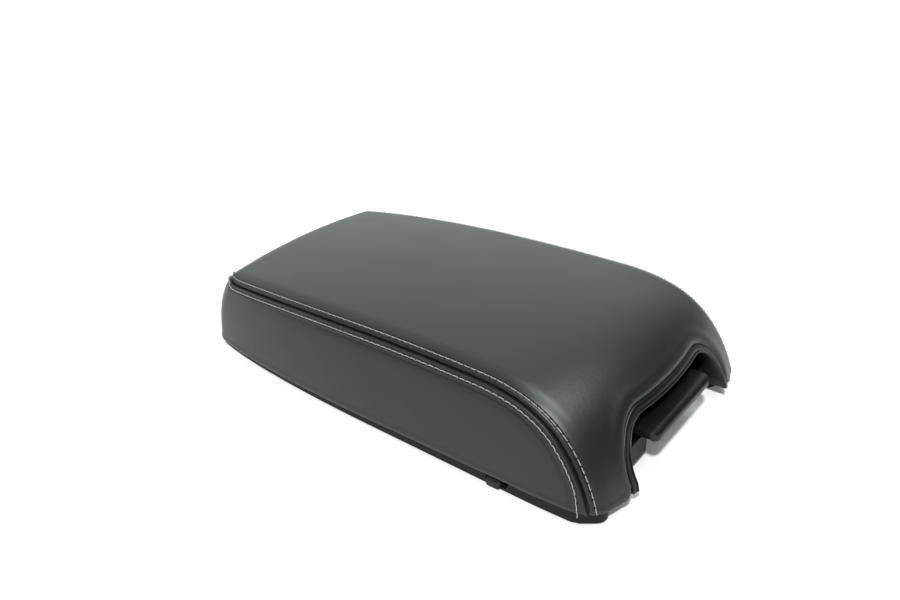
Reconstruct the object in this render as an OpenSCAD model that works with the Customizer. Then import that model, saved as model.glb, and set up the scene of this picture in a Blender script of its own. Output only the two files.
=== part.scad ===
// Armrest lid of a centre console: a stitched, padded lid on a moulded shell,
// with a closing panel below, a hinge at the rear and a release paddle in a
// framed notch at the front. +X is the front, +Z is up, and z = 0 is the
// console surface that the rubber stops and the fixed hinge leaf rest on.

/* [Lid] */
// Length of the lid, from the rear face to the front face
lid_l = 330; // [310:5:350]
// Width across the shoulders at half length
lid_w = 165; // [158:1:175]
// How much wider the front would be than the rear
front_wider = 3; // [0:0.5:6]
// Height of the top line at the rear
rear_h = 54.5; // [52:0.5:60]
// Height of the top line at the front
front_h = 65; // [62:0.5:70]
// Rise of the top line above a straight one at half length
top_bow = 8; // [4:0.5:10]
// Crown of the top across its width
crown = 4.8; // [3:0.2:7]
// Bow of the front face, seen from above
front_bow = 14.5; // [8:0.5:16]

/* [Edges] */
// Radius of the two long shoulders
shoulder_r = 14; // [13:0.5:17]
// Length of the rounding at the rear
rear_round_l = 25; // [20:1:40]
// Height of the rounding at the rear
rear_round_h = 41; // [30:1:42]
// Length of the slope at the front
front_round_l = 92; // [80:1:100]
// Fullness of the front slope along the lid, 2 is an ellipse
front_full_l = 3.6; // [2:0.1:4]
// Fullness of the front slope in height, 2 is an ellipse
front_full_h = 1.36; // [1.2:0.02:2]
// Angle of the side seams on the shoulder, from straight up
seam_angle = 49; // [44:1:54]

/* [Side walls] */
// How far the side walls lean out from top to hem
side_flare = 9.4; // [4:0.2:12]
// Belly of the side walls
side_belly = 1.2; // [0:0.1:3]
// Length over which the rear narrows
rear_taper_l = 160; // [120:5:200]
// How much each side narrows towards the rear
rear_narrow = 18.5; // [12:0.5:20]
// Length over which the front narrows
front_taper_l = 60; // [40:5:80]
// How much each side narrows towards the front
front_narrow = 7; // [4:0.5:9]
// Height of the cover's hem above the console at the rear
rear_hem = 2.4; // [2.2:0.1:4]
// Height of the cover's hem above the console at the front
front_hem = 8.2; // [7:0.1:9]

/* [Layers] */
// Thickness of the cover material
cover_t = 1.4; // [1:0.1:1.8]
// Thickness of the foam on the top
foam_t = 6; // [4:0.5:7]
// Thickness of the foam at the hem
foam_hem_t = 1.5; // [1:0.1:2]
// Wall thickness of the moulded shell
shell_t = 3; // [2.5:0.1:3.5]
// Width of the cover turned in under the hem
turn_in = 7; // [6:0.5:8]

/* [Latch notch] */
// Half width of the notch at the height of its corner arcs' centres
notch_half = 62.1; // [56:0.1:63]
// Angle at which the notch's legs lean out, from upright
notch_lean = 7.5; // [5:0.5:9]
// Height of the top edge of the notch
notch_h = 46.3; // [44:0.1:48]
// Radius of the notch's upper corners
notch_r = 29; // [20:1:30]
// Width of the bezel's face
bezel_w = 4.6; // [4.4:0.2:7]

/* [Release latch] */
// Width of the paddle
paddle_w = 72; // [60:1:73]
// Thickness of the paddle's plate
paddle_t = 4; // [3:0.5:5]
// Diameter of the latch pin
latch_pin_d = 4; // [3:0.5:5]
// Thickness of the steel hook
hook_t = 4; // [3:0.5:5]

/* [Hinge] */
// Diameter of the hinge pin
hinge_pin_d = 5; // [4:0.5:5.5]
// Outer diameter of the hinge knuckles
knuckle_d = 10; // [9.5:0.5:10]
// Thickness of the steel leaves
leaf_t = 2; // [1.5:0.1:2]
// Width of the hinge across the lid
hinge_w = 92; // [84:2:96]
// Diameter of the four fixing holes in the fixed leaf
bolt_hole_d = 5.5; // [4.5:0.1:6]

/* [Hidden] */

$fn = 48;
front_set = 6.7;                  // the notch's feet stand this far behind the front plane
rear = -(lid_l - front_set)/2;
front = rear + lid_l;
glue = 0.17;                      // clear of the next layer
seam_gap = 0.4;                   // half angle left open at each seam

function lerp(a, b, f) = a + (b - a)*f;
function clamp(v) = min(1, max(0, v));
function smooth(v) = let (c = clamp(v)) c*c*(3 - 2*c);
function ease(u) = 1 - sqrt(1 - u*u);
function along(x) = (x - rear)/lid_l;

// Outer form of the lid
function top_line(x) = lerp(rear_h, front_h, along(x)) + top_bow*4*along(x)*(1 - along(x));
function hem_line(x) = lerp(rear_hem, front_hem, along(x));
function half_width(x) = lid_w/2 + front_wider*(along(x) - 0.5)
    - rear_narrow*ease(min(0.99, clamp((rear + rear_taper_l - x)/rear_taper_l)))
    - front_narrow*ease(min(0.99, clamp((x - front + front_taper_l)/front_taper_l)));
function side_y(x, z) =
    let (h = lerp(rear_h, front_h, along(x)), v = clamp((h - z)/h))
    half_width(x) + side_belly*4*v*(1 - v) + side_flare*v;

// Side view of the lid, from the rear hem (0) over the top to the front hem (4)
function outline(t) =
    t < 1 ? [rear, lerp(hem_line(rear), top_line(rear) - rear_round_h, t)]
    : t < 2 ? let (a = 90*(t - 1), x = rear + rear_round_l*(1 - cos(a)))
        [x, top_line(x) - rear_round_h*(1 - sin(a))]
    : t < 3 ? let (x = lerp(rear + rear_round_l, front - front_round_l, t - 2)) [x, top_line(x)]
    : let (a = 90*pow(min(1, t - 3), 1.6),
           x = front - front_round_l + front_round_l*pow(sin(a), 2/front_full_l),
           foot = hem_line(front))
        [x, foot + (top_line(x) - foot)*pow(cos(a), 2/front_full_h)];
function outward(t) =
    let (d = outline(min(4, t + 0.01)) - outline(max(0, t - 0.01)))
    [-d[1], d[0]]/norm(d);
function bow_at(x) = lerp(crown, front_bow, smooth((x - front + front_round_l)/front_round_l));

// One station: point, outward normal, crown, half width, end angle of the shoulder
function wall_slope(s, n) =
    side_y(s[0] - n[0]/2, s[1] - n[1]/2) - side_y(s[0] + n[0]/2, s[1] + n[1]/2);
function shoulder_end(p, n, c, a) = p - n*(c + shoulder_r*(1 - cos(a)));
function end_angle(p, n, c, a, turns) =
    turns == 0 ? a
    : end_angle(p, n, c, 90 - atan(wall_slope(shoulder_end(p, n, c, a), n)), turns - 1);
function station(t) =
    let (p = outline(t), n = outward(t), c = bow_at(p[0]), a = end_angle(p, n, c, 90, 3),
         s = shoulder_end(p, n, c, a))
    [p, n, c, side_y(s[0], s[1]) + shoulder_r*(1 - sin(a)), a, s];

rear_wall_steps = 2;
corner_steps = 8;
top_steps = 8;
front_steps = 12;
places = [for (k = [0:rear_wall_steps - 1]) k/rear_wall_steps,
          for (k = [0:corner_steps - 1]) 1 + k/corner_steps,
          for (k = [0:top_steps - 1]) 2 + k/top_steps,
          for (k = [0:front_steps]) 3 + k/front_steps];
stations = [for (t = places) station(t)];
last = len(stations) - 1;
run = [for (i = 0, s = 0; i <= last;
            i = i + 1, s = i > last ? 0 : s + norm(stations[i][0] - stations[i - 1][0])) s];
hem_corner = 8;                   // the side walls' first fan line meets the hem this far in
function hem_x(i) = lerp(stations[0][5][0] + hem_corner, stations[last][5][0] - hem_corner,
                         run[i]/run[last]);

// Columns across the lid. A column is [side, zone, value]: zone 0 is the crown from the
// middle (0) to the shoulder (1), zone 1 an angle on the shoulder, zone 2 the side wall
// from the shoulder (0) to the hem (1).
function skin(i, col, in) =
    let (s = stations[i], p = s[0], n = s[1], c = s[2], w = s[3], r = shoulder_r)
    col[1] == 2 && col[2] > 0
    ? let (f = col[2], q = lerp(s[5], [hem_x(i), hem_line(hem_x(i))], f),
           y = side_y(q[0], q[1]),
           m = [y - side_y(q[0] + 1, q[1]), 1, y - side_y(q[0], q[1] + 1)])
        [q[0], y, q[1]] - m/norm(m)*in
    : let (a = col[1] == 0 ? 0 : col[1] == 1 ? min(col[2], s[4]) : s[4],
           y0 = col[1] == 0 ? col[2]*(w - r) : w - r + r*sin(a),
           y = col[1] == 0 ? y0 : w - r + (r - in)*sin(a),
           d = c*pow(min(y0, w)/w, 2) + r - (r - in)*cos(a))
        [p[0] - n[0]*d, y, p[1] - n[1]*d];

// A point in the layer: in is the depth under the outer face, lift keeps it above the hem
function layer(i, col, in, lift) =
    let (q = skin(i, col, in))
    [q[0], col[0]*q[1], max(q[2], hem_line(q[0]) + lift)];
function pad_depth(i, col) =
    let (z = skin(i, col, 0)[2], over = z - hem_line(skin(i, col, 0)[0]))
    lerp(foam_hem_t, foam_t, smooth(over/35));

function both_sides(cols) =
    concat([for (k = [len(cols) - 1:-1:1]) [-1, cols[k][1], cols[k][2]]], cols);
half_top = [[1, 0, 0], [1, 0, 0.33], [1, 0, 0.66], [1, 0, 1], [1, 1, 11], [1, 1, 23],
            [1, 1, 36], [1, 1, seam_angle - seam_gap]];
half_side = [[1, 1, seam_angle + seam_gap], [1, 1, 58], [1, 1, 66], [1, 2, 0], [1, 2, 0.2],
             [1, 2, 0.4], [1, 2, 0.6], [1, 2, 0.8], [1, 2, 1]];
half_core = [[1, 0, 0], [1, 0, 0.5], [1, 0, 1], [1, 1, 25], [1, 1, 50], [1, 2, 0],
             [1, 2, 0.33], [1, 2, 0.66], [1, 2, 1]];
core_rows = [for (i = [0:2:last]) i];
all_rows = [for (i = [0:last]) i];

// A closed slab between two grids of points with the same rows and columns
module slab(outer, inner) {
    rows = len(outer);
    cols = len(outer[0]);
    count = rows*cols;
    points = concat([for (r = outer) each r], [for (r = inner) each r]);
    function at(i, j) = i*cols + j;
    function quad(a, b, c, d) = [[a, b, c], [a, c, d]];
    faces = [
        for (i = [0:rows - 2], j = [0:cols - 2])
            each quad(at(i, j), at(i, j + 1), at(i + 1, j + 1), at(i + 1, j)),
        for (i = [0:rows - 2], j = [0:cols - 2])
            each [[at(i, j), at(i + 1, j + 1), at(i, j + 1)] + count*[1, 1, 1],
                  [at(i, j), at(i + 1, j), at(i + 1, j + 1)] + count*[1, 1, 1]],
        for (j = [0:cols - 2])
            each quad(at(0, j + 1), at(0, j), at(0, j) + count, at(0, j + 1) + count),
        for (j = [0:cols - 2])
            each quad(at(rows - 1, j), at(rows - 1, j + 1), at(rows - 1, j + 1) + count,
                      at(rows - 1, j) + count),
        for (i = [0:rows - 2])
            each quad(at(i, 0), at(i + 1, 0), at(i + 1, 0) + count, at(i, 0) + count),
        for (i = [0:rows - 2])
            each quad(at(i + 1, cols - 1), at(i, cols - 1), at(i, cols - 1) + count,
                      at(i + 1, cols - 1) + count)
    ];
    polyhedron(points, faces, convexity = 8);
}

// Notch in the front face, as a view from the front: grow is added all round. Each leg
// leaves its corner arc as a tangent
module notch_outline(grow, foot_z = -20) {
    r = notch_r + grow;
    steps = 10;
    arc_y = notch_half - notch_r;
    arc_z = notch_h - notch_r;
    arc_pts = [for (k = [0:steps])
               let (a = lerp(-notch_lean, 90, k/steps)) [arc_y + r*cos(a), arc_z + r*sin(a)]];
    foot = arc_pts[0][0] + (arc_pts[0][1] - foot_z)*tan(notch_lean);
    right = concat([[foot, foot_z]], arc_pts);
    polygon(concat(right, [for (k = [len(right) - 1:-1:0]) [-right[k][0], right[k][1]]]));
}
module through_front(depth = 110)
    translate([front + 20, 0, 0]) rotate([90, 0, -90]) linear_extrude(depth) children();
module notch_cut(grow) through_front() notch_outline(grow);

// Room for the hinge knuckles in the rear hem
pin_x = rear + knuckle_d/2;
pin_z = knuckle_d/2;
knuckle_room = 0.6;
module hinge_cut() {
    w = hinge_w + 8;
    translate([rear - 10, -w/2, -10]) cube([10 + knuckle_d + 6, w, 10 + knuckle_d + knuckle_room]);
}

// Cover: a top strip and two side panels, sewn together along the shoulders
cover_colour = [0.17, 0.175, 0.18];
module cover_top() color(cover_colour)
    difference() {
        cols = both_sides(half_top);
        outer = [for (i = all_rows) [for (c = cols) layer(i, c, 0, 0)]];
        inner = [for (i = all_rows) [for (c = cols) layer(i, c, cover_t, cover_t)]];
        slab(concat([[for (c = cols) layer(0, c, turn_in, 0)]], outer,
                    [[for (c = cols) layer(last, c, turn_in, 0)]]),
             concat([[for (c = cols) layer(0, c, turn_in, cover_t)]], inner,
                    [[for (c = cols) layer(last, c, turn_in, cover_t)]]));
        notch_cut(0);
        hinge_cut();
    }
module cover_side() {
    hem = half_side[len(half_side) - 1];
    slab([for (i = all_rows) concat([for (c = half_side) layer(i, c, 0, 0)],
                                    [layer(i, hem, turn_in, 0)])],
         [for (i = all_rows) concat([for (c = half_side) layer(i, c, cover_t, cover_t)],
                                    [layer(i, hem, turn_in, cover_t)])]);
}
module cover_side_left() color(cover_colour) cover_side();
module cover_side_right() color(cover_colour) mirror([0, 1, 0]) cover_side();

// Foam moulded on the shell, thin at the hem
pad_top = cover_t + 2*glue;
module foam_pad() color([0.75, 0.72, 0.6])
    difference() {
        cols = both_sides(half_core);
        slab([for (i = core_rows) [for (c = cols) layer(i, c, pad_top, pad_top)]],
             [for (i = core_rows) [for (c = cols) layer(i, c, pad_top + pad_depth(i, c), pad_top)]]);
        notch_cut(0.3);
        hinge_cut();
    }

// The moulded shell under the foam, with ribs below its ceiling and a boss for every screw
shell_top = pad_top + foam_t + glue;
function outline_z(x) =
    x < front - front_round_l ? top_line(x)
    : let (a = asin(pow((x - front + front_round_l)/front_round_l, front_full_l/2)),
           foot = hem_line(front))
        foot + (top_line(x) - foot)*pow(cos(a), 2/front_full_h);
function steep(x) = let (m = outline_z(x + 0.5) - outline_z(x - 0.5)) sqrt(1 + m*m);
function ceiling(x, y) =
    outline_z(x) - bow_at(x)*pow(y/half_width(x), 2) - (shell_top + shell_t)*steep(x);

panel_screws_at = [[rear + 47, 58], [rear + 160, 64], [front - 65, 62]];
leaf_screws_at = [[rear + 51, 22], [rear + 51, 0]];
housing_screws_at = [[front - 61, 46], [front - 43, 46]];
boss_r = 4;
pilot_r = 1.65;
embed = 1.5;                      // how far ribs and bosses run into the ceiling
function boss_embed(x) = x > front - front_round_l ? 0.3 : embed;
rib_h = 6;
rib_t = 2;
panel_boss_foot = 8.1;
leaf_boss_foot = knuckle_d + glue;
roof_z = 38;                      // underside of the latch housing's roof
roof_t = 2.5;
module both_ways(at)
    for (p = at, s = p[1] == 0 ? [1] : [-1, 1]) translate([p[0], s*p[1], 0]) children();
module boss_row(at, foot)
    for (p = at, s = p[1] == 0 ? [1] : [-1, 1])
        translate([p[0], s*p[1], foot]) cylinder(h = ceiling(p[0], p[1]) + boss_embed(p[0]) - foot, r = boss_r);
module pilot_row(at, foot, depth)
    both_ways(at) translate([0, 0, foot - 1]) cylinder(h = depth + 1, r = pilot_r);
module long_rib(y, x0, x1) {
    n = 8;
    xs = [for (k = [0:n]) lerp(x0, x1, k/n)];
    translate([0, y + rib_t/2, 0]) rotate([90, 0, 0]) linear_extrude(rib_t)
        polygon(concat([for (x = xs) [x, ceiling(x, y) + embed]],
                       [for (k = [n:-1:0]) [xs[k], ceiling(xs[k], y) - rib_h]]));
}
module cross_rib(x) {
    n = 8;
    half = half_width(x) - 18;
    ys = [for (k = [0:n]) lerp(-half, half, k/n)];
    translate([x - rib_t/2, 0, 0]) rotate([90, 0, 90]) linear_extrude(rib_t)
        polygon(concat([for (y = ys) [y, ceiling(x, y) + embed - 0.3]],
                       [for (k = [n:-1:0]) [ys[k], ceiling(x, ys[k]) - rib_h]]));
}
module upper_shell() color([0.12, 0.12, 0.125])
    difference() {
        cols = both_sides(half_core);
        union() {
            difference() {
                slab([for (i = core_rows) [for (c = cols)
                          layer(i, c, pad_top + pad_depth(i, c) + glue, pad_top)]],
                     [for (i = core_rows) [for (c = cols)
                          layer(i, c, pad_top + pad_depth(i, c) + glue + shell_t, pad_top)]]);
                notch_cut(0.3);
                hinge_cut();
            }
            for (y = [-32, 0, 32]) long_rib(y, rear + 33, front - 73);
            for (x = [47, 103, 160, 213]) cross_rib(rear + x);
            boss_row(panel_screws_at, panel_boss_foot);
            boss_row(leaf_screws_at, leaf_boss_foot);
            boss_row(housing_screws_at, roof_z + roof_t + glue);
        }
        pilot_row(panel_screws_at, panel_boss_foot, 13);
        pilot_row(leaf_screws_at, leaf_boss_foot, 12);
        pilot_row(housing_screws_at, roof_z + roof_t + glue, 5.7);
    }

// Closing panel: a thin moulded tray that shuts the underside inside the turned-in hem
panel_z = 0.7;                    // underside of the panel
panel_t = 2.2;
panel_in = 1.2;                   // set in from the cover all round
tray_rear = rear + 70;
tray_front = front - 77;
tray_half = 48;
tray_h = 12.5;
bay_front = front - 21;           // front wall of the panel, behind the finger bay
bay_half = 65;
throat_rear = front - 61;         // the striker throat runs back to here
throat_half = 15;
throat_r = 5;
bay_wall_h = 18;
slope_z = 4;                      // height of the sloping floor at the finger bay
pocket_front = rear + 61;
pocket_half = 50;
counterbore_z = 5.2;

function arc(x, y, r, a0, a1) = [for (k = [0:6]) let (a = lerp(a0, a1, k/6)) [x + r*cos(a), y + r*sin(a)]];
function flipped(pts) = [for (k = [len(pts) - 1:-1:0]) [pts[k][0], -pts[k][1]]];
function flat(p) = [p[0], p[1]];
edge_cols = [[1, 0, 0], [1, 0, 0.5], [1, 0, 1], [1, 1, 25], [1, 1, 50], [1, 2, 0]];
module plan(inset) {
    half = concat([for (c = edge_cols) flat(layer(0, c, inset, 0))],
                  [for (i = all_rows) flat(layer(i, [1, 2, 1], inset, 0))],
                  [for (k = [len(edge_cols) - 1:-1:0]) flat(layer(last, edge_cols[k], inset, 0))]);
    polygon(concat(half, flipped(half)));
}
// The panel's front edge stands back from the hem, with a round corner under each leg
corner_at = [front - 20.6, 78];
corner_r = 7.2;
module front_limit(inset) {
    half = concat([[bay_front + 2 - inset, 0], [bay_front + 2 - inset, bay_half]],
                  arc(corner_at[0], corner_at[1], corner_r - inset, -20, 50),
                  [[front - 38 - 0.6*inset, 100 - 0.8*inset], [rear - 20, 100]]);
    polygon(concat(half, flipped(half)));
}
module floor_plan(inset) intersection() {
    plan(panel_in + inset);
    front_limit(inset);
}
module bay(grow) {
    half = concat([[front + 40, bay_half + grow], [bay_front - grow, bay_half + grow]],
                  arc(bay_front - throat_r, throat_half + throat_r, throat_r - grow, 0, -90),
                  arc(throat_rear + throat_r, throat_half - throat_r, throat_r + grow, 90, 180));
    polygon(concat(half, flipped(half)));
}
module rounded_rect(x0, x1, half, r) {
    upper = concat(arc(x1 - r, half - r, r, 0, 90), arc(x0 + r, half - r, r, 90, 180));
    polygon(concat(upper, flipped(upper)));
}
module raise(z, h) translate([0, 0, z]) linear_extrude(h) children();
module above_hem()
    translate([rear, 0, rear_hem - 0.2])
        rotate([0, -atan((front_hem - rear_hem)/lid_l), 0]) translate([-50, -200, 0]) cube([450, 400, 60]);

// Front stops: a rubber foot in a gap of the panel's rim, with a tongue on the panel and a
// stem through it. The gap runs on in front of the foot as a slot under the hem
stop_x = rear + 254;
stop_w = 9;
foot_h = 4.2;
rim_left = 1.5;                   // height of rim that is left below the slot
slot_run = 4;
stem_r = 2;
tongue_t = 1.6;
stop_y = side_y(stop_x, hem_line(stop_x)) - 0.3;
module turned_to_y(y0, y1) translate([0, y1, 0]) rotate([90, 0, 0]) linear_extrude(y1 - y0) children();
module stop_room() {
    w = stop_w + 0.4;
    for (s = [-1, 1]) {
        translate([stop_x - w/2, s*(stop_y - 4.35) - 4.75, -1]) cube([w, 9.5, 12]);
        turned_to_y(s > 0 ? stop_y - 4.5 : -stop_y - 3, s > 0 ? stop_y + 3 : -stop_y + 4.5)
            polygon([[stop_x, panel_z + rim_left], [stop_x + w/2 + slot_run, panel_z + rim_left],
                     [stop_x + w/2 + 2*slot_run, 12], [stop_x, 12]]);
        translate([stop_x - 3.7, s*(stop_y - 12.15) - 5.05, panel_z + panel_t])
            cube([7.4, 10.1, tongue_t + 0.3]);
        translate([stop_x - 3.7, s*(stop_y - 8.15) - 1.15, -1]) cube([7.4, 2.3, 8]);
        translate([stop_x, s*(stop_y - 13), -1]) cylinder(h = 6, r = stem_r + 0.02);
    }
}
module front_stop() {
    tongue_z = panel_z + panel_t + 0.05;
    raise(0, foot_h)
        translate([stop_x, stop_y - 4.25]) {
            square([stop_w, 5.5], center = true);
            translate([0, 1.5]) square([stop_w - 3, 5.5], center = true);
            for (s = [-1, 1]) translate([s*(stop_w/2 - 1.5), 2.75]) circle(1.5);
            translate([0, -2.5]) square([7, 4], center = true);
        }
    translate([stop_x - 3.5, stop_y - 9, 0]) cube([7, 1.7, tongue_z + tongue_t]);
    translate([stop_x - 3.5, stop_y - 17, tongue_z]) cube([7, 9, tongue_t]);
    translate([stop_x, stop_y - 13, panel_z - 0.1]) cylinder(h = 3, r = stem_r);
}

// Rear stops: rubber buttons in shallow seats of the panel, held by a bead above its floor
button_at = [rear + 84, 60];
button_r = 6.5;
seat_h = 1.1;                     // how deep the button's seat goes into the panel
bead_r = 2.9;
module button_room() both_ways([button_at]) {
    translate([0, 0, -1]) cylinder(h = panel_z + seat_h + 1, r = button_r + 0.2);
    translate([0, 0, -1]) cylinder(h = 8, r = stem_r + 0.02);
}
module rear_stop() translate([button_at[0], button_at[1], 0]) {
    shoulder_z = panel_z + seat_h - 0.05;
    floor_top = panel_z + panel_t + 0.05;
    rotate_extrude()
        polygon([[0, 0], [button_r - 1, 0], [button_r, 0.8], [button_r, shoulder_z], [stem_r, shoulder_z],
                 [stem_r, floor_top], [bead_r, floor_top + 0.3], [bead_r - 0.3, floor_top + 1.2],
                 [1.2, floor_top + 2.2], [0, floor_top + 2.2]]);
}
stop_colour = [0.07, 0.07, 0.07];
module bump_stop_front_left() color(stop_colour) front_stop();
module bump_stop_front_right() color(stop_colour) mirror([0, 1, 0]) front_stop();
module bump_stop_rear_left() color(stop_colour) rear_stop();
module bump_stop_rear_right() color(stop_colour) mirror([0, 1, 0]) rear_stop();

module inner_panel() color([0.09, 0.09, 0.09])
    difference() {
        union() {
            difference() {
                raise(panel_z, 12) floor_plan(0);
                raise(panel_z + panel_t, 12) floor_plan(panel_t);
                above_hem();
            }
            raise(panel_z, 13) intersection() {
                difference() {
                    plan(10);
                    plan(12);
                }
                front_limit(panel_t);
            }
            raise(panel_z, tray_h + panel_t) rounded_rect(tray_rear - panel_t, tray_front + panel_t,
                                                          tray_half + panel_t, 14 + panel_t);
            intersection() {
                raise(panel_z, bay_wall_h) bay(panel_t);
                translate([0, -bay_half, 0]) cube([bay_front + 0.5, 2*bay_half, 30]);
            }
            raise(panel_z, 11) intersection() {
                plan(11);
                translate([rear, -pocket_half - panel_t]) square([pocket_front + panel_t - rear, 2*(pocket_half + panel_t)]);
            }
            both_ways(panel_screws_at) translate([0, 0, panel_z]) cylinder(h = panel_boss_foot - glue - panel_z, r = 7.5);
        }
        raise(panel_z - 1, tray_h + 1) rounded_rect(tray_rear, tray_front, tray_half, 14);
        raise(-1, 40) bay(0);
        translate([rear - 10, -pocket_half, -1]) cube([pocket_front - rear + 10, 2*pocket_half, 20]);
        // slope under the front wall, towards the finger bay
        translate([bay_front, 0, slope_z]) rotate([0, -18, 0]) translate([-60, -bay_half + 4, -30]) cube([61, 2*bay_half - 8, 30]);
        both_ways(panel_screws_at) {
            translate([0, 0, -1]) cylinder(h = counterbore_z + 1, r = 5);
            translate([0, 0, -1]) cylinder(h = 20, r = 2.2);
        }
        stop_room();
        button_room();
    }

// Bezel that lines the notch: a stepped face and a short tunnel behind it
bezel_gap = 0.25;
bezel_wall = 2.2;
bezel_foot = 6.2;
bezel_rear = front - 31;
front_rows = [for (i = [last - front_steps + 1:last]) i];
face_cols = both_sides([[1, 0, 0], [1, 0, 0.33], [1, 0, 0.66], [1, 0, 1], [1, 1, 20]]);
function face_grid(in) =
    let (rows = [for (i = front_rows) [for (c = face_cols) layer(i, c, in, -20)]])
    concat(rows, [[for (p = rows[len(rows) - 1]) p - [0, 0, 12]]]);
module notch_band(outer, inner, depth) through_front(depth) difference() {
    notch_outline(outer);
    notch_outline(inner, -30);
}
module latch_bezel() color([0.1, 0.1, 0.1])
    difference() {
        depth = front + 20 - bezel_rear;
        union() {
            intersection() {
                notch_band(-bezel_gap, -bezel_w, depth);
                slab(face_grid(0), face_grid(3.5));
            }
            difference() {
                notch_band(-bezel_w + bezel_wall, -bezel_w, depth);
                slab(face_grid(-40), face_grid(1.2));
            }
        }
        intersection() {
            through_front(depth) notch_outline(-bezel_w/2, -30);
            slab(face_grid(-40), face_grid(1.2));
        }
        translate([0, -100, bezel_foot - 40]) cube([300, 200, 40]);
        translate([0, -100, 0]) cube([bay_front + 0.2, 200, panel_z + bay_wall_h + 0.3]);
    }

// Latch housing, screwed up into the shell behind the notch
latch_x = front - 43;
latch_z = 28;
cheek_in = 37;
cheek_t = 3;
housing_rear = front - 67;
housing_front = front - 36;
wing_w = 11;                      // flange that the housing is screwed up by, beyond each cheek
module along_y(x, z, y0, y1) translate([x, y0, z]) rotate([-90, 0, 0]) linear_extrude(y1 - y0) children();
module latch_housing() color([0.13, 0.13, 0.13])
    difference() {
        outer = cheek_in + cheek_t;
        union() {
            translate([housing_rear, -outer, 20]) cube([roof_t, 2*outer, roof_z - 20 + roof_t]);
            translate([housing_rear, -outer, roof_z]) cube([housing_front - housing_rear, 2*outer, roof_t]);
            for (s = [-1, 1]) {
                translate([housing_rear, s > 0 ? cheek_in : -outer, 20])
                    cube([housing_front - housing_rear, cheek_t, roof_z - 20 + roof_t]);
                translate([housing_rear, s > 0 ? outer - 1 : -outer - wing_w, roof_z])
                    cube([housing_front - housing_rear, wing_w + 1, roof_t]);
                for (x = [housing_rear + 15.5, housing_front - 3])
                    translate([x, s > 0 ? outer - 1 : -outer - 5, roof_z - 8]) cube([2, 6, 9]);
            }
        }
        along_y(latch_x, latch_z, -50, 50) circle(latch_pin_d/2 + 0.02);
        both_ways(housing_screws_at) translate([0, 0, 30]) cylinder(h = 20, r = 2.1);
        // window in the back wall
        translate([housing_rear - 1, -20, 24]) cube([roof_t + 2, 40, 8]);
    }

// Paddle: a curved lip on a plate that turns on the latch pin
lip_x = front - 8;
lip_z = 24.8;
hub_r = 5.5;
paddle_top = latch_z + paddle_t/2;
hook_slot = hook_t/2 + 0.3;
rib_cheek_t = 3;
module paddle_side() {
    r = 4.2;
    toe = 1;
    points = concat([[latch_x, paddle_top]],
                    [for (k = [0:6]) let (a = 90 - 15*k) [lip_x - r + r*cos(a), paddle_top - r + r*sin(a)]],
                    [for (k = [1:4]) let (a = -22.5*k) [lip_x - toe + toe*cos(a), lip_z + toe + toe*sin(a)]],
                    [[lip_x - 2.4, lip_z], [lip_x - 3.4, lip_z + 0.4], [lip_x - 4.6, paddle_top - paddle_t],
                     [latch_x, paddle_top - paddle_t]]);
    polygon(points);
}
module latch_paddle() color([0.11, 0.11, 0.11])
    difference() {
        half = paddle_w/2;
        union() {
            intersection() {
                turned_to_y(-half, half) paddle_side();
                raise(0, 60) rounded_rect(latch_x - 20, lip_x, half, 6);
            }
            turned_to_y(-half, half) translate([latch_x, latch_z]) circle(hub_r);
            for (s = [-1, 1])
                turned_to_y(s > 0 ? hook_slot : -hook_slot - rib_cheek_t, s > 0 ? hook_slot + rib_cheek_t : -hook_slot)
                    polygon([[latch_x - 3, latch_z - 2], [latch_x + 3, latch_z - 10], [latch_x + 19, latch_z - 10],
                             [latch_x + 23, latch_z], [latch_x, latch_z + 1]]);
        }
        turned_to_y(-50, 50) translate([latch_x, latch_z]) circle(latch_pin_d/2 + 0.05);
        translate([latch_x - 10, -hook_slot, 0]) cube([16.5, 2*hook_slot, 50]);
        translate([latch_x - 10, 12, 10]) cube([16.5, 12, 30]);
        for (p = rivets_at) turned_to_y(-10, 10) translate(p) circle(rivet_r + 0.02);
    }

// Hook: flat steel between the paddle's ribs, its nose pointing to the rear
rivet_r = 1.5;
rivets_at = [[latch_x + 7, latch_z - 6.5], [latch_x + 17, latch_z - 6.5]];
hook_foot = 3;
module latch_hook() color([0.62, 0.63, 0.65])
    turned_to_y(-hook_t/2, hook_t/2) difference() {
        union() {
            translate([latch_x, latch_z]) circle(6);
            polygon([[latch_x - 4, latch_z], [latch_x - 3.5, hook_foot + 7.5], [latch_x - 11, hook_foot + 5.5],
                     [latch_x - 11, hook_foot + 4], [latch_x - 7, hook_foot], [latch_x + 1.5, hook_foot],
                     [latch_x + 4, hook_foot + 3], [latch_x + 5, latch_z - 9.5], [latch_x + 20, latch_z - 9.5],
                     [latch_x + 21, latch_z - 3.5], [latch_x + 5, latch_z - 2]]);
        }
        translate([latch_x, latch_z]) circle(latch_pin_d/2 + 0.05);
        for (p = rivets_at) translate(p) circle(rivet_r + 0.02);
    }
module hook_rivets() color([0.7, 0.7, 0.72])
    for (p = rivets_at) {
        out = hook_slot + rib_cheek_t;
        turned_to_y(-out - 0.1, out + 0.1) translate(p) circle(rivet_r);
        for (s = [-1, 1]) turned_to_y(s > 0 ? out + 0.05 : -out - 1.05, s > 0 ? out + 1.05 : -out - 0.05)
            translate(p) circle(rivet_r + 1);
    }
module latch_pin() color([0.7, 0.7, 0.72]) {
    out = cheek_in + cheek_t;
    turned_to_y(-out - 0.2, out + 1.5) translate([latch_x, latch_z]) circle(latch_pin_d/2);
    turned_to_y(-out - 1.6, -out - 0.1) translate([latch_x, latch_z]) circle(latch_pin_d/2 + 1.2);
}

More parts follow.
